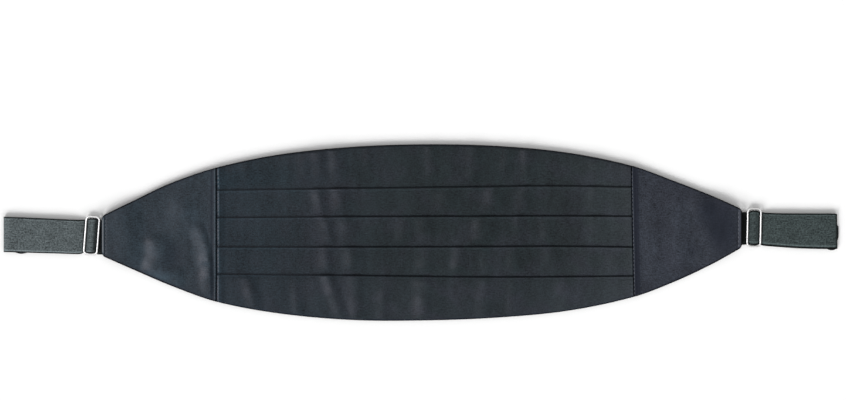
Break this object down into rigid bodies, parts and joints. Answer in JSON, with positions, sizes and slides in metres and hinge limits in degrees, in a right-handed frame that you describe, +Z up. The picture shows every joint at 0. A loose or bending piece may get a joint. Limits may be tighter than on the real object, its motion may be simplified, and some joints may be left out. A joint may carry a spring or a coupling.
{
  "type": "pleated cummerbund laid flat",
  "caption": "Waist sash laid flat: pleated satin front between two tapering side panels, with folded elastic straps on wire slide adjusters.",
  "frame": {"origin": "middle of the laid garment's bounding box, on the surface it lies on", "axes": "+X along the garment towards its right strap, +Y towards its upper edge, which the pleats' folds face, +Z up from the surface"},
  "size_m": [0.6015, 0.1272, 0.0043],
  "materials": {
    "satin": "dark slate satin, soft sheen",
    "elastic": "matt woven elastic, grey-green",
    "steel_wire": "polished round wire"
  },
  "bodies": {
    "root": {"front_panel": "satin", "side_panel_left": "satin", "side_panel_right": "satin", "strap_left": "elastic", "strap_right": "elastic", "slider_left": "steel_wire", "slider_right": "steel_wire", "hook_left": "steel_wire", "eye_right": "steel_wire"}
  },
  "joints": []
}
